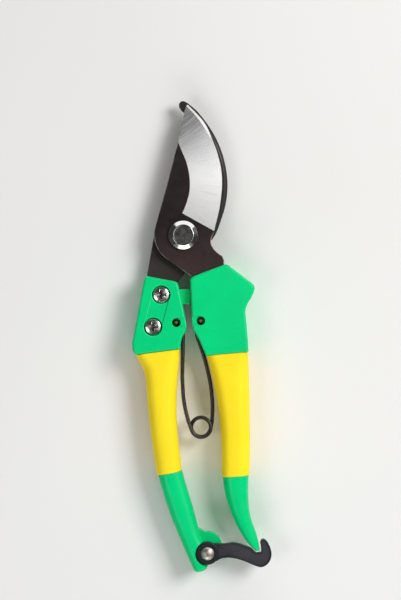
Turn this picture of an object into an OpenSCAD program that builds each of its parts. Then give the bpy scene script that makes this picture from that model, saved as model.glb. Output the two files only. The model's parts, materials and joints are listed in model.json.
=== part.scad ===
// Bypass pruning shears: a hooked counter blade and a curved cutting blade that turn on one bolt,
// each clamped by two screws in a moulded handle with a grip sleeve, pushed apart by a wire spring
// and held shut by a latch at the tail. Units are millimetres.
// The shears lie on their back, closed and latched. The origin is on the pivot's axis, on the surface
// they lie on. +Y runs to the blade tips, +X to the cutting blade's handle and +Z up through the bolt.

/* [Blades] */
// Thickness of the cutting blade and of the hook
blade_t = 3; // [2.6:0.1:3.2]
// Radius of both blades round the pivot
boss_r = 12.5; // [12:0.1:13]
// Width of the chamfer along the outside of the hook
hook_chamfer = 1.1; // [0.6:0.1:1.4]
// Thickness left along the cutting edge after grinding
edge_t = 0.3; // [0.2:0.05:0.6]

/* [Pivot] */
// Radius of the bolt's plain shank
shank_r = 4; // [3.5:0.1:4.5]
// Radius of the bolt's head
bolt_head_r = 6.3; // [5.5:0.1:7]
// Height of the bolt's head
bolt_head_h = 2.4; // [1.6:0.1:3]
// Radius of the bolt's threaded end
thread_r = 3; // [2.5:0.1:3.2]
// Width of the nut across its flats
nut_flats = 10; // [9:0.5:11]

/* [Handles] */
// Thickness of both handle heads, which is also the height of the shears
handle_t = 16; // [15:0.5:17]
// Radius along the edges of the handle heads
head_edge_r = 1.1; // [0.6:0.1:1.4]
// Wall of the grip sleeves
sleeve_wall = 1.3; // [1:0.1:1.6]

/* [Screws] */
// Radius of the handle screws' heads
screw_head_r = 3.3; // [3:0.1:3.5]
// Radius of the handle screws' shanks
screw_r = 2; // [1.6:0.1:2.2]

/* [Spring] */
// Diameter of the spring wire
wire_d = 1.7; // [1.4:0.1:1.8]
// Radius of the coil at the middle of the wire
coil_r = 4.2; // [4:0.1:4.4]

/* [Latch] */
// Thickness of the latch lever
latch_t = 4.4; // [3.6:0.1:4.8]
// Radius of the latch's ring
latch_ring_r = 4.8; // [4.5:0.1:5]
// Radius of the latch rivet's shank
rivet_r = 2; // [1.6:0.1:2.2]

/* [Hidden] */
$fn = 64;

// Colours
coated = [0.17, 0.13, 0.13];
bright = [0.86, 0.85, 0.84];
green = [0, 0.8, 0.48];
yellow = [1, 0.9, 0.2];
black = [0.13, 0.13, 0.15];
wire_colour = [0.15, 0.1, 0.08];

// Clearances
slide_gap = 0.05; // between faces that slide on each other, and round every pin
clear_gap = 0.3;  // between pieces that pass each other

// Heights of the layers, from the surface that the shears lie on
mid_z = handle_t / 2;             // the plane where the blades meet
hook_z = mid_z - blade_t;         // back of the hook
blade_z = mid_z + slide_gap;      // back of the cutting blade
blade_top = blade_z + blade_t;    // front of the cutting blade
washer_t = 1;
head_z = blade_top + slide_gap;   // underside of the bolt's head

// Places, on the plane that the shears lie on
left_screws = [[-9.4, -25.7], [-12.9, -39.5]];
right_screws = [[14.5, -26], [16.5, -40]];
left_eye = [-2.9, -37.7];   // where the spring's left end turns in the left head
right_eye = [7.6, -36.9];   // where its right end turns in the right head
coil_centre = [7.7, -83.1];
latch_pin = [10.5, -137.2]; // axis of the latch rivet

// ---- Curves ----

function unit(v) = v / norm(v);

// A point on the smooth curve between b and c, whose neighbours are a and d
function blend_point(a, b, c, d, t) =
    0.5 * (2 * b + (c - a) * t + (2 * a - 5 * b + 4 * c - d) * t * t
           + (3 * b - a - 3 * c + d) * t * t * t);

// The smooth curve through the points p, with n steps from each to the next
function smooth(p, n = 4) = [
    for (i = [0 : len(p) - 2], k = [0 : n - 1])
        blend_point(p[max(i - 1, 0)], p[i], p[i + 1], p[min(i + 2, len(p) - 1)], k / n),
    p[len(p) - 1]
];

function arc(centre, r, from, to, n) = [
    for (i = [0 : n]) let (a = from + (to - from) * i / n) centre + r * [cos(a), sin(a)]
];

// Angle at which the straight line from p meets the circle of radius r round the origin, on p's left
function tangent_angle(p, r) = atan2(p.y, p.x) + acos(r / norm(p));

// An anticlockwise outline moved inwards by d
function inset(p, d) = [
    for (i = [0 : len(p) - 1])
        let (
            u = unit(p[i] - p[(i + len(p) - 1) % len(p)]),
            v = unit(p[(i + 1) % len(p)] - p[i]),
            m = [-u.y - v.y, u.x + v.x]
        )
        p[i] + d * m / (1 + u * v)
];

// The points halfway from each of p to the next
function halfway(p) = [for (i = [1 : len(p) - 1]) (p[i - 1] + p[i]) / 2];

// ---- Solids from rings of points ----

// Joins rings that each have the same number of points, anticlockwise seen from the last ring
module loft(rings) {
    n = len(rings[0]);
    polyhedron(
        points = [for (ring = rings, p = ring) p],
        faces = concat(
            [[for (k = [0 : n - 1]) k]],
            [for (j = [0 : len(rings) - 2], k = [0 : n - 1], half = [0, 1])
                let (a = j * n + k, b = j * n + (k + 1) % n)
                half == 0 ? [b, a, b + n] : [a, a + n, b + n]],
            [[for (k = [n - 1 : -1 : 0]) (len(rings) - 1) * n + k]]
        )
    );
}

// A tube between matching outer and inner rings, in the same order
module sleeve(outer, inner) {
    n = len(outer[0]);
    m = len(outer);
    far = m * n;
    polyhedron(
        points = [for (ring = concat(outer, inner), p = ring) p],
        faces = concat(
            [for (j = [0 : m - 2], k = [0 : n - 1], half = [0, 1])
                let (a = j * n + k, b = j * n + (k + 1) % n)
                half == 0 ? [b, a, b + n] : [a, a + n, b + n]],
            [for (j = [0 : m - 2], k = [0 : n - 1], half = [0, 1])
                let (a = far + j * n + k, b = far + j * n + (k + 1) % n)
                half == 0 ? [a, b, b + n] : [a, b + n, a + n]],
            [for (k = [0 : n - 1], half = [0, 1])
                let (b = (k + 1) % n)
                half == 0 ? [k, b, far + k] : [b, far + b, far + k]],
            [for (k = [0 : n - 1], half = [0, 1])
                let (a = (m - 1) * n + k, b = (m - 1) * n + (k + 1) % n)
                half == 0 ? [b, a, far + a] : [b, far + a, far + b]]
        )
    );
}

// A plate as thick as the handles with this outline and rounded edges of radius r above and below
module rounded_plate(p, r, steps = 3) {
    function ring(lift, side) = let (a = 90 * lift / steps)
        [for (q = inset(p, r * (1 - sin(a))))
            [q.x, q.y, mid_z + side * (mid_z - r * (1 - cos(a)))]];
    loft(concat(
        [for (k = [0 : steps]) ring(k, -1)],
        [for (k = [steps : -1 : 0]) ring(k, 1)]
    ));
}

// ---- Outlines of the blades ----

// The ground face's shoulder and the cutting edge, point by point from the pivot to the tip, and how far
// the blade's front drops at each shoulder point; from spine_shoulder on, the shoulder is the spine itself
shoulder_points = [[-0.5, 9.1, 0], [1.5, 14, 0], [2.8, 19.5, 0], [2.7, 25.5, 0], [1.4, 31.5, 0],
                   [-0.6, 36.2, 0], [-2.2, 39.9, 0], [-0.9, 46.4, 0.9], [0.9, 55.2, 2.35]];
edge_points = [[13.9, 4.3], [15.4, 10.5], [16.35, 16.5], [16.8, 22.5], [16.4, 28.5], [15.2, 34],
               [13.4, 39.5], [9.1, 48.8], [1.8, 56.7]];
edge_heel = [13.3, 1.5]; // where the ground face ends beside the pivot
grind_steps = 5;
spine_index = 6 * grind_steps;

spine_shoulder = [-2.2, 39.9];
spine_angle = tangent_angle(spine_shoulder, boss_r);
heel_angle = 234;        // where the boss runs straight down to the cutting blade's tang

blade_tang = [[1.5, -16.4], [3.6, -18], [9.6, -23], [11, -30], [12.4, -46], [21, -46], [20.6, -30],
              [19.2, -20], [17.8, -13.5], [17.7, -10.8]];
blade_notch = [[16.9, -9], [15.2, -7.9], [13.2, -6], [12.1, -3.5], [12.2, -1.2]];

// The cutting blade's outline outside the ground face, from the spine round the boss and tang to the heel
function blade_body() = concat(
    arc([0, 0], boss_r, spine_angle, heel_angle, 20), blade_tang, smooth(blade_notch)
);

hook_outer = [[12.2, -2.2], [14.4, 1.3], [16.6, 7.2], [18.4, 13.5], [19.2, 20.5], [18.8, 27.5],
              [17.2, 34.8], [14.4, 41.8], [10.6, 48.2], [5.8, 54.2], [2, 57.3]];
hook_nose = [[0.3, 58.2], [-1, 58.1], [-1.9, 56.9], [-1.8, 55.6]];
hook_inner = [[-0.6, 53.9], [3.4, 50.6], [7.4, 45.4], [10.2, 39.4], [11.9, 33], [12.5, 26.5],
              [12.1, 20], [10.4, 14.8], [7, 11.6], [2.6, 12]];
hook_tang = [[-15.7, -17.3], [-14.9, -22], [-16.4, -44], [-9.4, -45], [-5.6, -28], [-2.4, -20],
             [0.9, -16]];

function hook_outline() = concat(
    arc([0, 0], boss_r, spine_angle - 2, spine_angle, 1),
    hook_tang,
    arc([0, 0], boss_r - 0.3, 290, 345, 8),
    smooth(hook_outer),
    hook_nose,
    smooth(hook_inner),
    arc([0, 0], boss_r, 95, spine_angle - 6, 10)
);

// ---- Blades ----

module pivot_hole(r) {
    translate([0, 0, -1]) cylinder(r = r, h = handle_t + 2);
}

// A screw's clearance hole, right through
module screw_holes(places, r) {
    for (p = places) translate([p.x, p.y, -1]) cylinder(r = r, h = handle_t + 2);
}

// The room that grinding leaves in front of the cutting blade, rib by rib from the pivot past the tip; each
// rib is run on past the shoulder and past the edge, and meets the outline between two of its points
module ground_away() {
    over = 0.12;
    clear_z = blade_top + 1;
    shoulder = halfway(smooth([for (p = shoulder_points) [p.x, p.y, blade_top - p.z]], grind_steps));
    edge = halfway(smooth([for (p = edge_points) [p.x, p.y, blade_z + edge_t]], grind_steps));
    last = len(edge) - 1;
    beyond = 2 * unit(edge[last] - edge[last - 1]);
    ribs = concat(
        [[[-0.7, 8.75, blade_top + 0.1], [edge_heel.x + 0.2, edge_heel.y, blade_top + 0.1]]],
        [for (i = [0 : last]) [shoulder[i], edge[i]]],
        [[shoulder[last] + beyond, edge[last] + beyond]]
    );
    loft([for (rib = ribs)
        let (s = rib[0] + over * (rib[0] - rib[1]), e = rib[1] + over * (rib[1] - rib[0]))
        [e, s, [s.x, s.y, clear_z], [e.x, e.y, clear_z]]]);
}

module cutting_blade() {
    edge = smooth(edge_points, grind_steps);
    shoulder = smooth(shoulder_points, grind_steps);
    outline = concat(
        blade_body(), [edge_heel], edge,
        [for (i = [len(edge) - 1 : -1 : spine_index]) [shoulder[i].x, shoulder[i].y]]
    );
    color(coated) difference() {
        translate([0, 0, blade_z]) linear_extrude(blade_t) polygon(outline);
        ground_away();
        pivot_hole(shank_r + slide_gap);
        screw_holes(right_screws, screw_r + 0.1);
    }
}

// The room in front of the chamfer along the outside of the hook, which fades out at both ends
module chamfered_away() {
    path = halfway(smooth(hook_outer));
    last = len(path) - 1;
    loft([for (i = [0 : last])
        let (
            t = unit(path[min(i + 1, last)] - path[max(i - 1, 0)]),
            out = [t.y, -t.x],
            fade = i == 0 || i == last ? 1.2 * hook_chamfer : 0,
            corner = path[i] + fade * out,
            inner = corner - (hook_chamfer + 1) * out,
            outer = corner + out
        )
        [[inner.x, inner.y, mid_z + 1], [outer.x, outer.y, mid_z + 1],
         [outer.x, outer.y, mid_z - hook_chamfer - 1]]]);
}

module hook_blade() {
    color(coated) difference() {
        translate([0, 0, hook_z]) linear_extrude(blade_t) polygon(hook_outline());
        chamfered_away();
        pivot_hole(shank_r + slide_gap);
        screw_holes(left_screws, screw_r + 0.1);
    }
}

// ---- Pivot ----

module pivot_bolt() {
    rim = bolt_head_h / 2;
    flat_r = bolt_head_r - 1.9;
    color(bright) union() {
        translate([0, 0, head_z]) cylinder(r = bolt_head_r, h = rim);
        translate([0, 0, head_z + rim])
            cylinder(r1 = bolt_head_r, r2 = flat_r, h = bolt_head_h - rim);
        translate([0, 0, hook_z]) cylinder(r = shank_r, h = head_z - hook_z);
        cylinder(r = thread_r, h = hook_z);
    }
}

module pivot_washer() {
    color(bright) translate([0, 0, hook_z - washer_t]) difference() {
        cylinder(r = 6.5, h = washer_t);
        translate([0, 0, -1]) cylinder(r = thread_r + slide_gap, h = washer_t + 2);
    }
}

module pivot_nut() {
    nut_h = hook_z - washer_t;
    color(bright) difference() {
        cylinder(r = nut_flats / sqrt(3), h = nut_h, $fn = 6);
        translate([0, 0, -1]) cylinder(r = thread_r + slide_gap, h = nut_h + 2);
    }
}

// ---- Handles ----

left_head = [[-16.6, -18.4], [-21.9, -47], [-21.6, -49.7], [-20.6, -51.5], [-1.3, -49],
             [-0.9, -46], [-0.3, -43.8], [0.6, -42.3], [1.3, -41], [1.4, -39], [1.2, -37],
             [0.3, -32], [-0.8, -27], [-1.9, -22], [-2.6, -20.4], [-3.9, -19.9], [-15.6, -17.7]];
right_head = [[3, -19.6], [3.2, -25], [3.5, -31], [3.7, -36], [3.9, -39.2], [4.3, -40.6],
              [5.2, -42.2], [6.7, -44.8], [8.2, -48.2], [9.8, -51.9], [28.1, -50.2], [27.8, -45],
              [27.2, -38], [26.7, -33.5], [27, -31.2], [27.9, -29.2], [29.2, -27.2],
              [30.3, -24.8], [30.8, -23], [30.4, -21.6], [29.2, -20.5], [24.5, -17],
              [20.6, -14], [19.4, -13], [18.2, -12.6], [12, -14.9], [8, -16.4], [4.4, -17.9],
              [3.4, -18.5]];

// Sections across the handles: centre x and y, slope of the section, half width, half thickness
// and corner radius
left_sections = [
    [-11, -50.35, 0.13, 9.5, 7.6, 4], [-9.9, -55, 0.12, 8.3, 7.8, 5.2], [-9.3, -60, 0.11, 7.2, 7.9, 5.4],
    [-9.2, -70, 0.08, 6.4, 7.9, 5.4], [-8.7, -80, 0.1, 5.9, 7.8, 5.2], [-7.65, -90, 0.13, 5.65, 7.6, 5],
    [-6, -102.6, 0.17, 5.3, 7.2, 4.6]
];
left_tail = [
    [-5.7, -102.6, 0.17, 5.15, 6.8, 4.2], [-3.6, -110, 0.28, 5, 6.6, 4], [-0.4, -120, 0.35, 4.75, 6.3, 3.8],
    [3, -130, 0.38, 4.1, 6, 3.4], [6.6, -138.5, 0.38, 4, 6, 3], [7.8, -143, 0.34, 3.3, 6, 2.6],
    [7.9, -144.2, 0.3, 2.7, 5.4, 2.2], [7.7, -144.9, 0.25, 1.8, 4.6, 1.6]
];
right_sections = [
    [19, -51.05, 0.09, 8.9, 7.6, 4], [19.8, -56, 0.07, 8.4, 7.8, 5.2], [20.4, -60, 0.06, 8, 7.9, 5.6],
    [21.5, -70, 0.04, 7.15, 7.9, 5.6], [22.3, -80, 0.03, 6.5, 7.8, 5.4], [22.7, -90, 0.03, 6.2, 7.6, 5.2],
    [22.65, -103.9, 0.07, 6, 7.2, 4.8]
];
right_tail = [
    [22.65, -103.9, 0.07, 5.6, 6.8, 4.4], [22.97, -110, 0.12, 5.1, 6.5, 4.2], [23.7, -115, 0.2, 4.45, 6.2, 4],
    [24.9, -120, 0.3, 3.7, 5.9, 3.4], [26.65, -125, 0.38, 3.05, 5.5, 2.8], [29.05, -130, 0.42, 2.55, 5, 2.4],
    [30.75, -133.4, 0.38, 1.75, 4.5, 1.6], [32.15, -136.15, 0.02, 1, 3.8, 0.9]
];

// One section's ring of points, anticlockwise seen from the tail, drawn in by wall
function section_ring(s, wall = 0, n = 5) =
    let (w = s[3] - wall, h = s[4] - wall, r = min(s[5] - wall / 2, w - 0.05, h - 0.05))
    [for (corner = [0 : 3], k = [0 : n])
        let (
            a = 90 * (corner + k / n),
            x = (corner == 0 || corner == 3 ? w - r : r - w) + r * cos(a),
            z = (corner < 2 ? h - r : r - h) + r * sin(a)
        )
        [s[0] + x, s[1] + s[2] * x, mid_z + z]];

function section_rings(sections, wall = 0, n = 4) =
    [for (s = smooth(sections, n)) section_ring(s, wall)];

// The core that the grip sleeve sits on, run on a little into the head and into the tail
function core_rings(sections) =
    let (rings = section_rings(sections, sleeve_wall), run_on = [0, 3, 0])
    concat(
        [[for (p = rings[0]) p + run_on]],
        rings,
        [[for (p = rings[len(rings) - 1]) p - run_on]]
    );

// A screw's counterbore and pilot hole, sunk from the top face
module screw_pocket(p) {
    translate([p.x, p.y, screw_seat]) cylinder(r = screw_head_r + 0.7, h = handle_t);
    translate([p.x, p.y, handle_t - screw_seat - 1]) cylinder(r = screw_r + 0.03, h = handle_t);
}
screw_seat = handle_t - 2.7; // height of the screws' seats

// The shallow recess that links a head's two counterbores
module screw_recess(places) {
    half = screw_head_r + 0.4;
    along = places[1] - places[0];
    translate([places[0].x, places[0].y, handle_t - 0.5])
        rotate(atan2(along.y, along.x)) translate([0, -half, 0]) cube([norm(along), 2 * half, 2]);
}

// Both screws' pockets, from the front
module screw_bed(places) {
    screw_recess(places);
    for (p = places) screw_pocket(p);
}

// The same from the back
module screw_bed_behind(places) {
    translate([0, 0, handle_t]) mirror([0, 0, 1]) screw_bed(places);
}

// The hole for the spring's end, its groove on the front, and the slot that the leg swings in
module spring_bed(eye, side, slot) {
    eye_r = 1.9;
    groove = [5, 4.2, 2];
    translate([eye.x, eye.y, slot_z[0] - 0.3]) cylinder(r = eye_r, h = handle_t);
    translate([side > 0 ? eye.x : eye.x - groove.x, eye.y - groove.y / 2, handle_t - 0.6])
        cube(groove);
    translate([0, 0, slot_z[0]]) linear_extrude(slot_z[1] - slot_z[0]) polygon(slot);
}
slot_z = [mid_z - wire_d - 0.7, mid_z + wire_d + 0.7];
left_slot = [[-4.9, -35.6], [-4.9, -38.6], [-2.6, -42], [-1.8, -46], [-2, -52], [6, -52], [6, -35.6]];
right_slot = [[-1, -34.9], [-1, -53], [12, -53], [10.4, -48.6], [8.6, -45], [8.2, -42],
              [9.7, -38], [9.7, -34.9]];

// The room that a blade's tang fills in its head
module tang_slot(outline, z) {
    translate([0, 0, z - 0.02]) linear_extrude(blade_t + 0.04) polygon(outline);
}

// The block on the left head that stops the handles as they close
module closing_stop() {
    stop_h = 8;
    translate([0, 0, mid_z - stop_h / 2]) linear_extrude(stop_h)
        polygon([[-3, -23.4], [-3, -29.8], [3, -29.8], [2.7, -23.4]]);
}

ear_t = 4.3;                                 // thickness of the ear under the latch
latch_washer_r = 3.7;
latch_washer_z = mid_z - ear_t - slide_gap - washer_t;
latch_z = mid_z + clear_gap;                 // back of the latch
ear_outline = concat(arc([10.4, -134.9], 6.5, -62, 100, 14), [[2, -124], [0, -132], [6, -141]]);

// The room above the ear for the latch's ring and for the arm as it swings
module latch_pocket() {
    pocket_r = latch_ring_r + 0.5;
    floor_z = mid_z + 0.02;
    translate([latch_pin.x, latch_pin.y, floor_z]) cylinder(r = pocket_r, h = handle_t);
    translate([latch_pin.x, latch_pin.y, floor_z]) rotate(-54) translate([0, -4.1, 0])
        cube([20, 30, handle_t]);
}

// The room for the latch's washer and the rivet's end, from the back up to the ear
module washer_recess() {
    translate([latch_pin.x, latch_pin.y, -1])
        cylinder(r = latch_washer_r + clear_gap, h = mid_z - ear_t - slide_gap / 2 + 1);
}

module left_handle() {
    color(green) difference() {
        union() {
            rounded_plate(left_head, head_edge_r);
            closing_stop();
            loft(core_rings(left_sections));
            loft(section_rings(left_tail));
            translate([0, 0, mid_z - ear_t]) linear_extrude(ear_t) polygon(ear_outline);
        }
        tang_slot(hook_outline(), hook_z);
        screw_bed(left_screws);
        spring_bed(left_eye, 1, left_slot);
        latch_pocket();
        washer_recess();
        translate([latch_pin.x, latch_pin.y, -1]) cylinder(r = rivet_r + 0.02, h = handle_t);
    }
}

module right_handle() {
    color(green) difference() {
        union() {
            rounded_plate(right_head, head_edge_r);
            loft(core_rings(right_sections));
            loft(section_rings(right_tail));
        }
        tang_slot(blade_body(), blade_z);
        screw_bed_behind(right_screws);
        spring_bed(right_eye, -1, right_slot);
    }
}

// A sleeve over the handle's core, 0.02 clear of it
module grip(sections) {
    color(yellow) sleeve(section_rings(sections), section_rings(sections, sleeve_wall - 0.02));
}

module left_grip() { grip(left_sections); }
module right_grip() { grip(right_sections); }

// ---- Screws ----

// A pan-head screw with a cross recess, its seat at the origin and its head upwards
module pan_screw() {
    head_h = 2.3;
    length = 10.6;
    cross_l = 4.2;
    cross_w = 1.1;
    dome_r = 10;
    color(bright) difference() {
        union() {
            intersection() {
                cylinder(r = screw_head_r, h = head_h);
                translate([0, 0, head_h - dome_r]) sphere(r = dome_r);
            }
            translate([0, 0, 0.8 - length]) cylinder(r = screw_r, h = length - 0.8 + 0.1);
            translate([0, 0, -length]) cylinder(r1 = screw_r - 0.8, r2 = screw_r, h = 0.8);
        }
        for (a = [0, 90]) rotate(a) translate([-cross_l / 2, -cross_w / 2, head_h - 1.5])
            cube([cross_l, cross_w, 2]);
    }
}

module front_screw(p) {
    translate([p.x, p.y, screw_seat]) pan_screw();
}

module back_screw(p) {
    translate([p.x, p.y, handle_t - screw_seat]) mirror([0, 0, 1]) pan_screw();
}

module left_upper_screw() { front_screw(left_screws[0]); }
module left_lower_screw() { front_screw(left_screws[1]); }
module right_upper_screw() { back_screw(right_screws[0]); }
module right_lower_screw() { back_screw(right_screws[1]); }

// ---- Spring ----

// A round wire along a path in space that runs level or, at its end, straight up; heading is the level
// direction in which it last ran
module wire(path, heading, sides = 12) {
    last = len(path) - 1;
    r = wire_d / 2;
    loft([for (i = [0 : last])
        let (
            t = unit(path[min(i + 1, last)] - path[max(i - 1, 0)]),
            level = [t.x, t.y],
            h = norm(level) > 0.1 && t.z < 0.5 ? unit(level) : heading,
            n = [-h.y, h.x, 0],
            up = cross(n, t)
        )
        [for (k = [0 : sides - 1])
            let (a = 360 * k / sides) path[i] - r * cos(a) * n + r * sin(a) * up]]);
}

// A level run of points at one height
function level_run(points, z) = [for (p = points) [p.x, p.y, z]];

// The end of a leg: a round bend at the eye from the heading up to the top of the hole
function turned_up(eye, heading, z) = concat(
    [for (a = [0 : 15 : 90])
        let (p = eye - heading * bend_r * (1 - sin(a))) [p.x, p.y, z + bend_r * (1 - cos(a))]],
    [[eye.x, eye.y, handle_t - 1.4]]
);
bend_r = 1.3;

// A stretch of the coil between two angles
function coil_turn(from, to, n = 24) = [
    for (i = [0 : n])
        let (a = from + (to - from) * i / n)
        [coil_centre.x + coil_r * cos(a), coil_centre.y + coil_r * sin(a), coil_z(a)]
];

left_leg = [[-1.5, -40], [-0.2, -42.8], [-0.15, -46], [-0.15, -50], [-0.3, -56], [-0.4, -61],
            [-0.2, -66], [0.2, -71], [1.1, -76], [2.3, -80.6]];
right_leg = [[12.5, -80.5], [12.7, -75], [12.4, -69.5], [11.8, -64.5], [10.9, -60], [9.7, -55],
             [8.4, -50.5], [7, -46.6], [6, -43.6], [6, -41.2]];
coil_fall = (wire_d + 0.1) / 360; // how far the coil falls for each degree
coil_start = 204;                 // where the left leg runs into the coil
coil_left_end = 418;              // where the left leg's part of the coil ends
coil_right_start = 454;           // where the right leg's part begins, clear of it while they turn
coil_end = 702;                   // where the coil runs out into the right leg
function coil_z(a) = mid_z + coil_fall * ((coil_start + coil_end) / 2 - a);
left_leg_z = coil_z(coil_start);
right_leg_z = coil_z(coil_end);

module spring_left_leg() {
    heading = unit(left_eye - left_leg[0]);
    legs = smooth(concat([left_eye - heading * bend_r], left_leg), 3);
    end = turned_up(left_eye, heading, left_leg_z);
    color(wire_colour) wire(concat(
        [for (i = [len(end) - 1 : -1 : 1]) end[i]],
        level_run(legs, left_leg_z),
        coil_turn(coil_start, coil_left_end)
    ), heading);
}

module spring_right_leg() {
    heading = unit(right_eye - right_leg[len(right_leg) - 1]);
    legs = smooth(concat(right_leg, [right_eye - heading * bend_r]), 3);
    end = turned_up(right_eye, heading, right_leg_z);
    color(wire_colour) wire(concat(
        coil_turn(coil_right_start, coil_end),
        level_run(legs, right_leg_z),
        [for (i = [1 : len(end) - 1]) end[i]]
    ), heading);
}

// ---- Latch ----

hook_reach = 23.2; // radius of the latch's inner hook face, round its rivet
latch_under = [[3.95, -3.3], [5.6, -2.3], [7.6, -1.9], [10, -1.85], [13, -2.4], [15.5, -3.2],
               [18.4, -4.4], [20.8, -5.4], [22.8, -5.95], [24.6, -5.5], [26.2, -4.2],
               [27.2, -2.5], [27.6, -0.4], [27.3, 1.6], [26.6, 3.5], [25.7, 5], [24.9, 5.8]];
latch_arm = [[21.3, 0.1], [20.4, 0.7], [19, 2], [17.6, 2.7], [15.4, 3.5], [12.8, 4.3], [10.8, 4.5],
             [9, 4.2], [6.8, 4], [4.6, 4.1]];

function latch_outline() = concat(
    smooth(latch_under, 3),
    [[24.1, 6.1], [23.2, 5.8]],
    arc([0, 0], hook_reach, 11.5, 1, 4),
    smooth(latch_arm, 3),
    arc([0, 0], latch_ring_r - 0.2, 60, 313, 12)
);

// The sunk front of the arm, inside its rim; it runs on a little under the ring
function latch_panel(rim) = inset(concat(
    smooth(latch_under, 3),
    [[24.1, 6.1], [23.2, 5.8]],
    arc([0, 0], hook_reach, 11.5, 1, 4),
    smooth(latch_arm, 3),
    [[3, 3.4], [3, -3.4]]
), rim);

module latch_lever() {
    arm_t = latch_t - 0.5; // the ring stands above the arm
    rim = 0.6;
    panel_depth = 0.4;
    color(black) translate([latch_pin.x, latch_pin.y, latch_z]) difference() {
        union() {
            difference() {
                linear_extrude(arm_t) polygon(latch_outline());
                translate([0, 0, arm_t - panel_depth]) linear_extrude(1) polygon(latch_panel(rim));
            }
            cylinder(r = latch_ring_r, h = latch_t);
        }
        translate([0, 0, -1]) cylinder(r = rivet_r + slide_gap, h = latch_t + 2);
    }
}

module latch_rivet() {
    head_r = 2.85;
    head_h = 1.1;
    dome_r = 4.3;
    top = latch_z + latch_t + slide_gap;
    back = latch_washer_z - slide_gap / 2;
    color(bright) translate([latch_pin.x, latch_pin.y, 0]) union() {
        translate([0, 0, top]) intersection() {
            cylinder(r = head_r, h = head_h);
            translate([0, 0, head_h - dome_r]) sphere(r = dome_r);
        }
        translate([0, 0, back]) cylinder(r = rivet_r, h = top - back + 0.1);
        translate([0, 0, back - 0.6]) cylinder(r = rivet_r + 0.6, h = 0.6);
    }
}

module latch_washer() {
    color(bright) translate([latch_pin.x, latch_pin.y, latch_washer_z]) difference() {
        cylinder(r = latch_washer_r, h = washer_t);
        translate([0, 0, -1]) cylinder(r = rivet_r + 0.02, h = washer_t + 2);
    }
}

hook_blade();
cutting_blade();
pivot_bolt();
pivot_washer();
pivot_nut();
left_handle();
left_grip();
left_upper_screw();
left_lower_screw();
right_handle();
right_grip();
right_upper_screw();
right_lower_screw();
spring_left_leg();
spring_right_leg();
latch_lever();
latch_rivet();
latch_washer();
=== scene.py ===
"""Looks of the bypass pruning shears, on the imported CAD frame. Metres, in the frame's own axes."""
import json
import math

import bmesh
import bpy
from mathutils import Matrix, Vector
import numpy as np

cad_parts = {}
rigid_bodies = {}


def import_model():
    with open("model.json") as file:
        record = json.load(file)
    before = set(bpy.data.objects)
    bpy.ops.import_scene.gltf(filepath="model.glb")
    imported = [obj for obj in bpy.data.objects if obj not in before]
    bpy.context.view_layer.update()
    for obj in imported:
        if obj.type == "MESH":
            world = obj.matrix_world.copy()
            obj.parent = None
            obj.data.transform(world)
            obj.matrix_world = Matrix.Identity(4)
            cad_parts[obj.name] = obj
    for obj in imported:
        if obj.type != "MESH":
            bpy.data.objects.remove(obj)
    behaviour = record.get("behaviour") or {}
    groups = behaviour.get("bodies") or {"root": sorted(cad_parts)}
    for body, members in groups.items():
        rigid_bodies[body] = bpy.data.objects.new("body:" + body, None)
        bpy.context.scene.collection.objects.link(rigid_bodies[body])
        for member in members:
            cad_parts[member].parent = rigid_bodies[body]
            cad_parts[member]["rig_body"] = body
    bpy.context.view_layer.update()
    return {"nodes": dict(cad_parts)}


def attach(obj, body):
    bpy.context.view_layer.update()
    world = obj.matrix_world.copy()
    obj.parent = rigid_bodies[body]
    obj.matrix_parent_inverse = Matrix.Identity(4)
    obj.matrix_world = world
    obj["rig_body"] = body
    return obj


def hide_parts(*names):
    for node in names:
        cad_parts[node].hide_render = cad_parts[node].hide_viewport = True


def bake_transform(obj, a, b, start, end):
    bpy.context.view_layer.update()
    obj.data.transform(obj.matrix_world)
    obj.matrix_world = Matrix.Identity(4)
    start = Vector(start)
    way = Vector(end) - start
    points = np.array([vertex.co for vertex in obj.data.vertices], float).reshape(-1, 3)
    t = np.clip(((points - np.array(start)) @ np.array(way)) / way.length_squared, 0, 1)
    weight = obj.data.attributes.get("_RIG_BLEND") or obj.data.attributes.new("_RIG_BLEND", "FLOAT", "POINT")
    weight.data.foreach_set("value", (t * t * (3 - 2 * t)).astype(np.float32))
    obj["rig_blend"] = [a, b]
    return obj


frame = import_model()
nodes = frame["nodes"]
scene = bpy.context.scene
MM = 0.001
EDGE_CENTRE = Vector((-26.5, 24.5))  # the cutting edge runs about this point near the tip, in millimetres


# ---------- materials ----------

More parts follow.
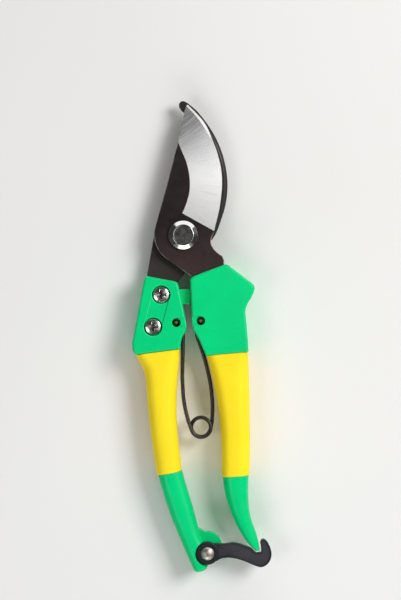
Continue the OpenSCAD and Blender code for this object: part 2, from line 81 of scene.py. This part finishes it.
class Shader:
    """A Principled material with a few shorthand calls for procedural detail. Scales are per metre."""

    def __init__(self, name, colour, roughness, metallic=0.0):
        self.mat = bpy.data.materials.new(name)
        self.mat.use_nodes = True
        self.mat.diffuse_color = (*colour, 1)
        self.tree = self.mat.node_tree
        self.bsdf = self.tree.nodes["Principled BSDF"]
        self.set("Base Color", (*colour, 1))
        self.set("Roughness", roughness)
        self.set("Metallic", metallic)
        self.coordinates = self.node("ShaderNodeTexCoord")
        self.place = self.coordinates.outputs["Object"]
        self.normal = None

    def node(self, kind, **props):
        n = self.tree.nodes.new(kind)
        for key, value in props.items():
            setattr(n, key, value)
        return n

    def link(self, a, b):
        self.tree.links.new(a, b)

    def set(self, socket, value):
        self.bsdf.inputs[socket].default_value = value

    def math(self, operation, a, b=0.0):
        n = self.node("ShaderNodeMath", operation=operation)
        for i, v in enumerate((a, b)):
            if isinstance(v, (int, float)):
                n.inputs[i].default_value = v
            else:
                self.link(v, n.inputs[i])
        return n.outputs[0]

    def stretched(self, scale, turn=0.0):
        m = self.node("ShaderNodeMapping")
        m.inputs["Scale"].default_value = scale
        m.inputs["Rotation"].default_value = (0, 0, turn)
        self.link(self.place, m.inputs["Vector"])
        return m.outputs[0]

    def noise(self, scale, detail=3.0, rough=0.5, source=None):
        n = self.node("ShaderNodeTexNoise")
        n.inputs["Scale"].default_value = scale
        n.inputs["Detail"].default_value = detail
        n.inputs["Roughness"].default_value = rough
        self.link(source or self.place, n.inputs["Vector"])
        return n.outputs["Fac"]

    def ramp(self, fac, low, high, at=(0.0, 1.0)):
        r = self.node("ShaderNodeMapRange")
        r.inputs["From Min"].default_value, r.inputs["From Max"].default_value = at
        r.inputs["To Min"].default_value, r.inputs["To Max"].default_value = low, high
        self.link(fac, r.inputs["Value"])
        return r.outputs[0]

    def mix(self, fac, a, b):
        m = self.node("ShaderNodeMix", data_type="RGBA")
        self.link(fac, m.inputs[0])
        for i, v in ((6, a), (7, b)):
            if isinstance(v, tuple):
                m.inputs[i].default_value = (*v, 1)
            else:
                self.link(v, m.inputs[i])
        return m.outputs[2]

    def bump(self, height, strength, depth):
        """Rough up the normal with height, which is depth millimetres deep, on top of any earlier bump."""
        b = self.node("ShaderNodeBump")
        b.inputs["Strength"].default_value = strength
        b.inputs["Distance"].default_value = depth * MM
        self.link(height, b.inputs["Height"])
        if self.normal is not None:
            self.link(self.normal, b.inputs["Normal"])
        self.normal = b.outputs[0]

    def attribute(self, name):
        n = self.node("ShaderNodeAttribute", attribute_name=name)
        return n.outputs["Fac"]

    def steady(self, name):
        """Start from the normal in a vector attribute, which is in the object's own axes."""
        a = self.node("ShaderNodeAttribute", attribute_name=name)
        t = self.node("ShaderNodeVectorTransform", vector_type="NORMAL", convert_from="OBJECT",
                      convert_to="WORLD")
        self.link(a.outputs["Vector"], t.inputs[0])
        self.normal = t.outputs[0]

    def level(self, at):
        """0 where the surface slopes and 1 where it lies flat. at says how far up its normal points where
        that change starts, and where it ends."""
        xyz = self.node("ShaderNodeSeparateXYZ")
        self.link(self.coordinates.outputs["Normal"], xyz.inputs[0])
        return self.ramp(self.math("ABSOLUTE", xyz.outputs[2]), 0.0, 1.0, at)

    def finish(self, colour, roughness=None):
        self.link(colour, self.bsdf.inputs["Base Color"])
        if roughness is not None:
            self.link(roughness, self.bsdf.inputs["Roughness"])
        if self.normal is not None:
            self.link(self.normal, self.bsdf.inputs["Normal"])
        return self.mat


CLOUDY = (0.3, 0.7)  # the stretch of a noise that its dark and light halves are spread over
SPARSE = (0.62, 0.8)  # the stretch that leaves only its few highest streaks


def scaled(colour, k):
    return tuple(min(1.0, c * k) for c in colour)


def moulded(name, colour, roughness, grain, grain_size, gloss, tint=0.06):
    """Moulded plastic: slight cloudiness, by tint lighter and darker, a surface as rough as grain says at
    grain_size millimetres, and faint handling scratches."""
    s = Shader(name, colour, roughness)
    s.set("IOR", 1.49)
    s.set("Specular IOR Level", gloss)
    cloud = s.ramp(s.noise(60, 3), 0.0, 1.0, CLOUDY)
    base = s.mix(cloud, scaled(colour, 1 - tint), scaled(colour, 1 + tint))
    s.bump(s.noise(1 / (grain_size * MM), 3, 0.6), grain, 0.04)
    scratch = s.ramp(s.noise(260, 5, 0.65, s.stretched((1, 14, 3), 0.5)), 0.0, 1.0, SPARSE)
    s.bump(scratch, 0.06, 0.03)
    rough = s.ramp(s.noise(180, 4), roughness - 0.06, roughness + 0.08, CLOUDY)
    return s.finish(base, s.math("ADD", rough, s.math("MULTIPLY", scratch, 0.12)))


TANG_Y = (-0.016, 0.004)  # metres: the blades' coating is painted lighter and browner below the first, a painted sheen, and keeps its own near-black above the second


def coated(name, colour, roughness, gloss=0.3, painted_tang_sheen=None):
    """Dark baked coating on steel: fine pebbled skin, faint rubbing, and a painted sheen: a lighter colour
    towards the tang.
    """
    s = Shader(name, colour, roughness)
    s.set("IOR", 1.5)
    s.set("Specular IOR Level", gloss)
    cloud = s.ramp(s.noise(55, 4, 0.6), 0.0, 1.0, (0.3, 0.72))
    base = s.mix(cloud, scaled(colour, 0.85), scaled(colour, 1.3))
    # painted sheen: towards the tang the coating is painted lighter and browner, for the light it mirrors
    # there
    if painted_tang_sheen:
        xyz = s.node("ShaderNodeSeparateXYZ")
        s.link(s.place, xyz.inputs[0])
        base = s.mix(s.ramp(xyz.outputs[1], 1.0, 0.0, TANG_Y), base, painted_tang_sheen)
    rub = s.ramp(s.noise(420, 5, 0.65, s.stretched((1, 9, 3), 1.2)), 0.0, 0.4, SPARSE)
    base = s.mix(rub, base, scaled(colour, 2.5))
    s.bump(s.noise(5200, 2, 0.5), 0.12, 0.03)
    s.bump(s.noise(700, 3, 0.6), 0.08, 0.04)
    rough = s.ramp(s.noise(330, 4), roughness - 0.07, roughness + 0.1, CLOUDY)
    return s.finish(base, rough)


DOME_TOP = (0.955, 0.985)  # the upward part of the normal at the foot of a dome's flat middle, and inside it


def metal(name, colour, roughness, lines=None, pits=0.05, smudges=0.86, top=None):
    """Bare or plated steel with small pits, and smudges that darken it to that share. lines adds fine
    machining marks that run along one axis, and top is a darker colour painted where a dome lies flat, a
    painted reflection."""
    s = Shader(name, colour, roughness, 1.0)
    smudge = s.ramp(s.noise(240, 4, 0.6), 0.0, 1.0, (0.3, 0.72))
    base = s.mix(smudge, scaled(colour, smudges), colour)
    if top:
        # painted reflection: the flat middle of a dome is painted darker, for the dark space it mirrors
        base = s.mix(s.level(DOME_TOP), base, top)
    rough = s.ramp(s.noise(420, 4), roughness * 0.75, roughness * 1.35, CLOUDY)
    if lines:
        s.bump(s.noise(1, 3, 0.6, s.stretched(lines)), 0.1, 0.02)
    s.bump(s.noise(2600, 3, 0.6), pits, 0.02)
    return s.finish(base, rough)


GROUND_GREY = (0.5, 0.495, 0.49)
HONED = (41.7 * MM, 41.9 * MM)  # from the cutting edge's centre: where the honed strip starts, and is whole


def ground_steel(name):
    """The cutting blade's ground face: grinding lines from shoulder to edge, plain to see near the tip and
    fine elsewhere, painted darker towards the tip as painted shade where less light is mirrored, and a honed
    strip along the edge there, painted near white, partly as a painted highlight. along is the angle round
    the edge's centre, in radians, and across runs from the edge (0) to the shoulder (1)."""
    s = Shader(name, GROUND_GREY, 0.3, 1.0)
    s.steady("ground_normal")
    along, across = s.attribute("along"), s.attribute("across")

    def lines(fineness, sway, detail):
        """Noise drawn out across the face, so many to a radian, that changes along each line by its sway."""
        at = s.node("ShaderNodeCombineXYZ")
        s.link(s.math("MULTIPLY", along, fineness), at.inputs[0])
        s.link(s.math("MULTIPLY", across, sway), at.inputs[1])
        return s.noise(1.0, detail, 0.6, at.outputs[0])

    # painted shade: the face is painted darker towards the tip, where it mirrors less light
    painted_tip_shade = s.ramp(along, 0.0, 1.0, (0.0, 0.66))
    scored = s.ramp(along, 0.0, 1.0, (0.35, 0.6))
    fine = lines(620.0, 1.3, 4)
    wide = lines(130.0, 0.5, 2)
    reach = s.node("ShaderNodeVectorMath", operation="DISTANCE")
    s.link(s.stretched((1, 1, 0)), reach.inputs[0])
    reach.inputs[1].default_value = (EDGE_CENTRE.x * MM, EDGE_CENTRE.y * MM, 0)
    uneven = s.math("MULTIPLY", wide, 0.3 * MM)
    hone_and_highlight = s.ramp(s.math("SUBTRACT", reach.outputs["Value"], uneven), 0.0, 1.0, HONED)
    hone_and_highlight = s.math("MULTIPLY", hone_and_highlight, s.ramp(along, 0.0, 1.0, (0.42, 0.56)))
    even = s.mix(s.ramp(fine, 0.0, 1.0, (0.32, 0.7)), (0.46, 0.455, 0.45), (0.52, 0.517, 0.513))
    tip_shade_colours = s.mix(s.ramp(fine, 0.0, 1.0, (0.35, 0.65)), (0.13, 0.13, 0.132), (0.2, 0.2, 0.202))
    base = s.mix(painted_tip_shade, even, tip_shade_colours)
    mark = s.math("MULTIPLY", s.ramp(wide, 0.0, 1.0, (0.5, 0.6)), s.math("MULTIPLY", scored, 0.38))
    base = s.mix(mark, base, GROUND_GREY)
    # the honed strip, painted near white: partly its bright honed steel, partly a painted highlight
    base = s.mix(hone_and_highlight, base, (0.9, 0.88, 0.85))
    s.bump(fine, 0.14, 0.03)
    s.link(s.ramp(hone_and_highlight, 1.0, 0.4), s.bsdf.inputs["Metallic"])
    rough = s.math("ADD", s.ramp(fine, 0.24, 0.4, CLOUDY), s.math("MULTIPLY", hone_and_highlight, -0.1))
    return s.finish(base, rough)


def worn_edge_and_highlight(name, steel):
    """Coating rubbed through to bare steel, in some places more than in others. Its light colour is partly a
    painted highlight along the rounded edges.
    """
    s = Shader(name, steel, 0.45, 0.6)
    patch = s.ramp(s.noise(85, 3, 0.6), 0.12, 1.0, (0.42, 0.6))
    base = s.mix(patch, (0.02, 0.015, 0.014), steel)
    s.bump(s.noise(1500, 3, 0.6), 0.15, 0.02)
    return s.finish(base)


GREEN = moulded("green_plastic", (0.0, 0.62, 0.2), 0.3, grain=0.1, grain_size=0.5, gloss=0.16)
# painted highlight: a lighter, glossier green on the handles' rounded edges
GREEN_EDGE_HIGHLIGHT = moulded("green_edge_highlight", (0.02, 0.72, 0.3), 0.3, grain=0.1, grain_size=0.5, gloss=0.4)
YELLOW = moulded("yellow_grip", (1.0, 0.755, 0.02), 0.45, grain=0.3, grain_size=0.4, gloss=0.12, tint=0.03)
BLACK = moulded("black_plastic", (0.012, 0.012, 0.016), 0.4, grain=0.25, grain_size=0.5, gloss=0.4, tint=0.2)
# painted sheen: the latch's sunk panel is a lighter, cloudier black than its rim
BLACK_PANEL_SHEEN = moulded("black_plastic_panel_sheen", (0.03, 0.03, 0.037), 0.3, grain=0.25, grain_size=0.5, gloss=0.6,
                      tint=0.4)
# the last colour of each coating is its painted sheen towards the tang
COATED = coated("coated_steel", (0.013, 0.008, 0.008), 0.34, painted_tang_sheen=(0.045, 0.024, 0.024))
HOOK = coated("coated_hook", (0.019, 0.0185, 0.018), 0.36, painted_tang_sheen=(0.042, 0.03, 0.027))
# partly worn steel, partly a painted highlight along the cutting blade's rounded edges
WORN_AND_HIGHLIGHT = worn_edge_and_highlight("worn_edge_and_highlight", (0.44, 0.38, 0.34))
RUBBED = worn_edge_and_highlight("rubbed_edge", (0.1, 0.088, 0.08))
WIRE = coated("blackened_wire", (0.014, 0.009, 0.007), 0.3, gloss=0.5)
POLISHED = metal("polished_steel", (0.45, 0.44, 0.43), 0.14)
# top: the middles of the screws' domes are painted darker, a painted reflection
SCREW = metal("plated_screw", (0.85, 0.82, 0.8), 0.18, pits=0.25, smudges=0.7, top=(0.56, 0.52, 0.48))
# painted shade: a darker steel inside the screws' cross recesses
RECESS_SHADE = metal("screw_recess", (0.3, 0.27, 0.24), 0.3, pits=0.4, smudges=0.5)
WIRE_END = metal("cut_wire_end", (0.4, 0.27, 0.12), 0.42, pits=0.3, smudges=0.6)
# painted reflection: the flat of the bolt's head is a darker steel, for the dark space it mirrors
BOLT_FACE_PAINTED_DARK = metal("bolt_face_painted_dark", (0.34, 0.32, 0.31), 0.24, pits=0.5, smudges=0.3)
PLAIN = metal("plain_steel", (0.62, 0.61, 0.59), 0.28, lines=(900, 900, 9000))
RIVET = metal("rivet_steel", (0.49, 0.455, 0.405), 0.42, pits=0.3, smudges=0.6)
GROUND = ground_steel("ground_steel")


# ---------- meshes ----------

LEFT_EYE = Vector((-2.9, -37.7))  # where the spring's ends turn up in the heads, in millimetres
RIGHT_EYE = Vector((7.6, -36.9))
TAIL_Y = -100  # below the grips


def add(name, mesh, body, replaced, mats):
    """Put a piece in the scene, on its body if it has just one, in place of its CAD nodes."""
    o = bpy.data.objects.new(name, mesh)
    scene.collection.objects.link(o)
    for m in mats:
        mesh.materials.append(m)
    if body:
        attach(o, body)
    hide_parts(*replaced)
    return o


def soften(o, width, segments, wear_and_highlight):
    """Round the edges that carry a bevel weight, in the piece's last material if asked: worn steel that is
    partly a painted highlight on the blades, and a painted highlight on the handles.
    """
    b = o.modifiers.new("edges", "BEVEL")
    b.width = width * MM
    b.segments = segments
    b.limit_method = "WEIGHT"
    b.harden_normals = True
    b.use_clamp_overlap = False
    if wear_and_highlight:
        b.material = len(o.data.materials) - 1
    w = o.modifiers.new("normals", "WEIGHTED_NORMAL")
    w.keep_sharp = True
    w.weight = 60


FLAT = math.radians(0.4)  # faces that meet at less than this are one


def refined(node, name, mats, width=0.12, angle=38, segments=2, work=None, wear_and_highlight=False, weld=0.002):
    """A piece with the CAD node's own shape, its flat faces joined up, smooth shaded. Outer edges sharper
    than angle, in degrees, are rounded to width, and points closer than weld are joined, in millimetres."""
    src = nodes[node]
    bm = bmesh.new()
    bm.from_mesh(src.data)
    bmesh.ops.remove_doubles(bm, verts=bm.verts, dist=weld * MM)
    bmesh.ops.dissolve_degenerate(bm, edges=bm.edges, dist=weld * MM)
    bmesh.ops.dissolve_limit(bm, angle_limit=FLAT, verts=bm.verts, edges=bm.edges)
    for f in bm.faces:
        f.smooth = True
        f.material_index = 0
    weight = bm.edges.layers.float.new("bevel_weight_edge")
    for e in bm.edges:
        if len(e.link_faces) == 2:
            sharp = e.calc_face_angle(0) > math.radians(angle)
            e.smooth = not sharp
            e[weight] = 1.0 if sharp and e.is_convex and e.calc_length() > width * MM else 0.0
    if work:
        work(bm)
    mesh = bpy.data.meshes.new(name)
    bm.to_mesh(mesh)
    bm.free()
    # the CAD mesh's own normals would hide the smooth shading
    for stale in [a.name for a in mesh.attributes if a.name == "custom_normal"]:
        mesh.attributes.remove(mesh.attributes[stale])
    soften(add(name, mesh, src["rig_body"], [node], mats), width, segments, wear_and_highlight)


GRIND_TILT = 0.187  # how steeply the ground face falls towards the edge
LAND = 0.5 * MM  # taller than the narrow land that grinding leaves along the cutting edge


def mark_ground(bm):
    """Second material on the ground face, with its own normal and lengths along and across it for its
    grinding lines, and a crisp cutting edge."""
    along = bm.verts.layers.float.new("along")
    across = bm.verts.layers.float.new("across")
    steady = bm.verts.layers.float_vector.new("ground_normal")
    weight = bm.edges.layers.float["bevel_weight_edge"]
    low = min(v.co.z for v in bm.verts)
    for f in bm.faces:
        if 0.3 < f.normal.z < 0.9995:  # neither upright nor level
            f.material_index = 1
        land = max(v.co.z for v in f.verts) - low < LAND and abs(f.normal.z) < 0.5
        if f.material_index == 1 or land:
            for e in f.edges:
                e[weight] = 0.0
    for v in bm.verts:
        p = Vector((v.co.x, v.co.y)) / MM - EDGE_CENTRE
        turn = math.atan2(p.y, p.x)
        way = turn if turn > 0 else turn / 2
        v[along] = turn
        v[steady] = Vector((GRIND_TILT * math.cos(way), GRIND_TILT * math.sin(way), 1)).normalized()
        v[across] = 0.0 if v.co.z - low < LAND else 1.0


LEVEL = 0.99  # the upward part of a level face's normal, at least
RING = 0.4 * MM  # left standing round the disc in the bolt's head
DISC_SINK = 0.08 * MM


def mark_bolt(bm):
    """A slightly sunk disc of the second material, a darker steel as a painted reflection, in the flat of
    the bolt's head.
    """
    top = max(v.co.z for v in bm.verts)
    disc = [f for f in bm.faces if f.normal.z > LEVEL and f.calc_center_median().z > top - 0.1 * MM]
    bmesh.ops.inset_region(bm, faces=disc, thickness=RING, use_even_offset=True, use_boundary=True)
    for f in disc:
        f.material_index = 1
        for v in f.verts:
            v.co.z = top - DISC_SINK


CROSS_REACH = 2.3 * MM  # the cross lies within this of the screw's middle
CROSS_FLOOR = (1.2 * MM, 1.8 * MM)  # its floor lies between these depths under the head's top
CROSS_WALL = 1.6 * MM  # its walls' middles lie above this depth
CROSS_SINK = 0.6 * MM  # how far its floor runs down to the middle


def mark_cross(up):
    """Second material, a darker steel painted as the shade inside the cross recess of a screw whose head
    faces up (1) or down (-1), and a floor that runs down to its middle."""
    def work(bm):
        mid = sum((v.co for v in bm.verts), Vector()) / len(bm.verts)
        top = max(up * v.co.z for v in bm.verts)
        for f in bm.faces:
            c = f.calc_center_median()
            near = math.hypot(c.x - mid.x, c.y - mid.y) < CROSS_REACH
            depth = top - up * c.z
            wall = abs(f.normal.z) < 0.5 and depth < CROSS_WALL
            floor = up * f.normal.z > 0.9 and CROSS_FLOOR[0] < depth < CROSS_FLOOR[1]
            if near and (wall or floor):
                f.material_index = 1
        floors = [f for f in bm.faces if f.material_index == 1 and up * f.normal.z > 0.9]
        for v in bmesh.ops.poke(bm, faces=floors)["verts"]:
            v.co.z -= up * CROSS_SINK
            for e in v.link_edges:
                e.smooth = False
    return work


EYE_ROOM = 4  # millimetres round the holes for the spring's ends
EYE_SHARE = 0.4
TAIL_SHARE = 0.3


def spare_tight(bm):
    """Rounding cut to a share of its width on a handle where there is little room: beside the holes for the
    spring's ends, and in the tail, where the latch's pocket cuts the round shape at a slant."""
    weight = bm.edges.layers.float["bevel_weight_edge"]
    for e in bm.edges:
        mid = (e.verts[0].co + e.verts[1].co) / 2 / MM
        if min((mid.xy - eye).length for eye in (LEFT_EYE, RIGHT_EYE)) < EYE_ROOM:
            e[weight] *= EYE_SHARE
        if mid.y < TAIL_Y:
            e[weight] *= TAIL_SHARE


PANEL = (0.8 * MM, 1.0 * MM)  # the latch's panel lies between these depths under its ring


def mark_panel(bm):
    """Second material, painted lighter as a painted sheen, on the sunk front of the latch's arm."""
    top = max(v.co.z for v in bm.verts)
    for f in bm.faces:
        if f.normal.z > LEVEL and PANEL[0] < top - f.calc_center_median().z < PANEL[1]:
            f.material_index = 1


# ---------- pieces ----------

refined("hook_blade", "hook_counter_blade", [HOOK, RUBBED], width=0.2, angle=28, wear_and_highlight=True)
refined("cutting_blade", "cutting_blade_steel", [COATED, GROUND, WORN_AND_HIGHLIGHT], width=0.25, angle=28,
        work=mark_ground, wear_and_highlight=True)
refined("pivot_bolt", "pivot_bolt_steel", [POLISHED, BOLT_FACE_PAINTED_DARK], width=0.2, angle=25,
        segments=3, work=mark_bolt)
refined("pivot_washer", "pivot_washer_steel", [PLAIN])
refined("pivot_nut", "pivot_nut_steel", [PLAIN], width=0.3, angle=30, segments=3)
# the handles' rounded edges take the painted highlight green
for hand in ("left", "right"):
    refined(f"{hand}_handle", f"{hand}_handle_moulding", [GREEN, GREEN_EDGE_HIGHLIGHT], width=0.25,
            angle=42, work=spare_tight, wear_and_highlight=True, weld=0.03)
for hand in ("left", "right"):
    refined(f"{hand}_grip", f"{hand}_grip_sleeve", [YELLOW], width=0.5, angle=50, segments=3)
for hand in ("left", "right"):
    for which in ("upper", "lower"):
        screw = f"{hand}_{which}_screw"
        refined(screw, screw + "_steel", [SCREW, RECESS_SHADE], width=0.15, angle=30,
                work=mark_cross(1 if hand == "left" else -1))
refined("latch_lever", "latch_lever_moulding", [BLACK, BLACK_PANEL_SHEEN], width=0.2, angle=42,
        segments=3, work=mark_panel)
refined("latch_rivet", "latch_rivet_steel", [RIVET], width=0.15, angle=30, segments=3)
refined("latch_washer", "latch_washer_steel", [PLAIN])


# ---------- spring ----------

# All in millimetres, and the angles in degrees.
WIRE_R = 0.85
WIRE_TOP = 14.6  # height of the wire's cut ends
EYE_BEND = 1.3  # radius at which the ends turn up
MID_Z = 8
COIL = Vector((7.7, -83.1))
COIL_R = 4.2
LEFT_LEG = [(-1.5, -40), (-0.2, -42.8), (-0.15, -46), (-0.15, -50), (-0.3, -56), (-0.4, -61),
            (-0.2, -66), (0.2, -71), (1.1, -76), (2.3, -80.6)]
RIGHT_LEG = [(12.5, -80.5), (12.7, -75), (12.4, -69.5), (11.8, -64.5), (10.9, -60), (9.7, -55),
             (8.4, -50.5), (7, -46.6), (6, -43.6), (6, -41.2)]
COIL_START, COIL_END = 204, 702
COIL_STEPS = 96
FALL = 1.8 / 360  # for each degree of the coil, so that a turn falls a little more than the wire is thick


def smooth(points, n=6):
    """Catmull-Rom curve through the points."""
    p = [Vector(q) for q in points]
    out = []
    for i in range(len(p) - 1):
        a, b, c, d = p[max(i - 1, 0)], p[i], p[i + 1], p[min(i + 2, len(p) - 1)]
        for k in range(n):
            t = k / n
            out.append(0.5 * (2 * b + (c - a) * t + (2 * a - 5 * b + 4 * c - d) * t * t
                              + (3 * b - a - 3 * c + d) * t ** 3))
    return out + [p[-1]]


def turned_up(eye, heading, z):
    """The wire's end: level along heading at height z, then bent straight up at eye to its cut end."""
    out = []
    for a in range(0, 91, 10):
        s, c = math.sin(math.radians(a)), math.cos(math.radians(a))
        q = eye - heading * EYE_BEND * (1 - s)
        out.append(Vector((q.x, q.y, z + EYE_BEND * (1 - c))))
    return out + [Vector((eye.x, eye.y, WIRE_TOP))]


def spring_path():
    """The wire's middle line from its end in the left head, round the coil, to its end in the right head."""
    left_z = MID_Z + FALL * (COIL_END - COIL_START) / 2
    right_z = 2 * MID_Z - left_z
    left_way = (LEFT_EYE - Vector(LEFT_LEG[0])).normalized()
    right_way = (RIGHT_EYE - Vector(RIGHT_LEG[-1])).normalized()
    left = smooth([LEFT_EYE - left_way * EYE_BEND] + [Vector(p) for p in LEFT_LEG])
    right = smooth([Vector(p) for p in RIGHT_LEG] + [RIGHT_EYE - right_way * EYE_BEND])
    path = list(reversed(turned_up(LEFT_EYE, left_way, left_z)))[:-1]
    path += [Vector((p.x, p.y, left_z)) for p in left]
    for i in range(COIL_STEPS + 1):
        a = math.radians(COIL_START + (COIL_END - COIL_START) * i / COIL_STEPS)
        z = left_z + (right_z - left_z) * i / COIL_STEPS
        path.append(Vector((COIL.x + COIL_R * math.cos(a), COIL.y + COIL_R * math.sin(a), z)))
    path += [Vector((p.x, p.y, right_z)) for p in right]
    return path + turned_up(RIGHT_EYE, right_way, right_z)[1:]


WIRE_SIDES = 20
END_SHARE = 0.75  # of the wire's radius, at its cut ends


def tube(path, radius):
    """Rings carried along the path without twisting. Its cut ends are narrower, in the second material."""
    bm = bmesh.new()
    sides = WIRE_SIDES
    angles = [2 * math.pi * k / sides for k in range(sides)]
    before = (path[1] - path[0]).normalized()
    normal = before.orthogonal().normalized()
    rings = []
    last = len(path) - 1
    for i, p in enumerate(path):
        t = (path[min(i + 1, last)] - path[max(i - 1, 0)]).normalized()
        normal = before.rotation_difference(t) @ normal
        normal = (normal - t * normal.dot(t)).normalized()
        before = t
        side = t.cross(normal)
        r = radius * (END_SHARE if i in (0, last) else 1.0)
        spokes = [r * (math.cos(a) * normal + math.sin(a) * side) for a in angles]
        rings.append([bm.verts.new((p + spoke) * MM) for spoke in spokes])
    for a, b in zip(rings, rings[1:]):
        for k in range(sides):
            bm.faces.new((a[k], a[(k + 1) % sides], b[(k + 1) % sides], b[k]))
    bm.faces.new(list(reversed(rings[0])))
    bm.faces.new(rings[-1])
    bmesh.ops.recalc_face_normals(bm, faces=bm.faces)
    for f in bm.faces:
        f.smooth = len(f.verts) == 4
        f.material_index = 0 if f.smooth else 1
    mesh = bpy.data.meshes.new("spring_wire")
    bm.to_mesh(mesh)
    bm.free()
    return mesh


LEAST_STEP = 0.12


def clean_path(path):
    """The path without the points that lie too close to the one before."""
    out = [path[0]]
    for p in path[1:]:
        if (p - out[-1]).length > LEAST_STEP:
            out.append(p)
    return out


spring = add("spring_wire", tube(clean_path(spring_path()), WIRE_R), None,
             ["spring_left_leg", "spring_right_leg"], [WIRE, WIRE_END])
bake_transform(spring, "spring_left", "spring_right",
         start=(0.005575, -0.08335, 0.008), end=(0.009944, -0.08283, 0.008))


# ---------- floor, light, camera ----------

FLOOR_HALF = 3.0
FLOOR_GAP = 0.05 * MM  # below what lies on it, so that no two faces share a plane


def stage():
    """A plain pale floor."""
    s = Shader("studio_floor", (0.8, 0.79, 0.77), 0.75)
    tint = s.ramp(s.noise(3, 2), 0.0, 1.0, (0.35, 0.65))
    mat = s.finish(s.mix(tint, (0.78, 0.77, 0.75), (0.82, 0.815, 0.8)))
    bm = bmesh.new()
    bmesh.ops.create_grid(bm, x_segments=1, y_segments=1, size=FLOOR_HALF)
    mesh = bpy.data.meshes.new("studio_floor")
    bm.to_mesh(mesh)
    bm.free()
    floor = bpy.data.objects.new("studio_floor", mesh)
    floor.location.z = -FLOOR_GAP
    scene.collection.objects.link(floor)
    mesh.materials.append(mat)


def area(name, where, towards, size, watts):
    """A rectangular white light at where, facing towards. Places and sizes are in metres."""
    light = bpy.data.lights.new(name, "AREA")
    light.shape = "RECTANGLE"
    light.size, light.size_y = size
    light.energy = watts
    o = bpy.data.objects.new(name, light)
    o.location = where
    o.rotation_euler = (Vector(towards) - Vector(where)).to_track_quat("-Z", "Y").to_euler()
    scene.collection.objects.link(o)


# The key and the side light shade the shears. The sheen is what the cutting blade's ground face mirrors, and
# the head and foot lights are what the bolt's ring and the domes of the screws and the rivet mirror.
stage()
area("key", (0.7, 0.33, 0.82), (0.01, -0.03, 0), (0.5, 0.5), 9.5)
area("sheen", (0.33, -0.09, 0.8), (0.01, 0.02, 0), (0.35, 0.6), 0.5)
area("head", (0.1, 0.8, 0.43), (0, 0, 0), (1.55, 0.3), 3.2)
area("foot", (0.05, -0.83, 0.43), (0, -0.02, 0), (0.8, 0.35), 3.0)
area("foot_wide", (0.05, -1.0, 0.5), (0, -0.02, 0), (2.2, 0.3), 1.2)
area("side", (-0.4, -0.25, 0.55), (0, -0.03, 0), (0.3, 0.3), 0.8)

world = bpy.data.worlds.new("studio")
world.use_nodes = True
world.node_tree.nodes["Background"].inputs["Color"].default_value = (0.9, 0.92, 0.95, 1)
world.node_tree.nodes["Background"].inputs["Strength"].default_value = 0.08
scene.world = world
scene.view_settings.view_transform = "Standard"

camera = bpy.data.objects.new("camera", bpy.data.cameras.new("camera"))
camera.data.lens = 100
camera.data.sensor_width = 36
camera.data.clip_start, camera.data.clip_end = 0.01, 20
camera.location = (0.00747, -0.028, 0.73)
scene.collection.objects.link(camera)
scene.camera = camera
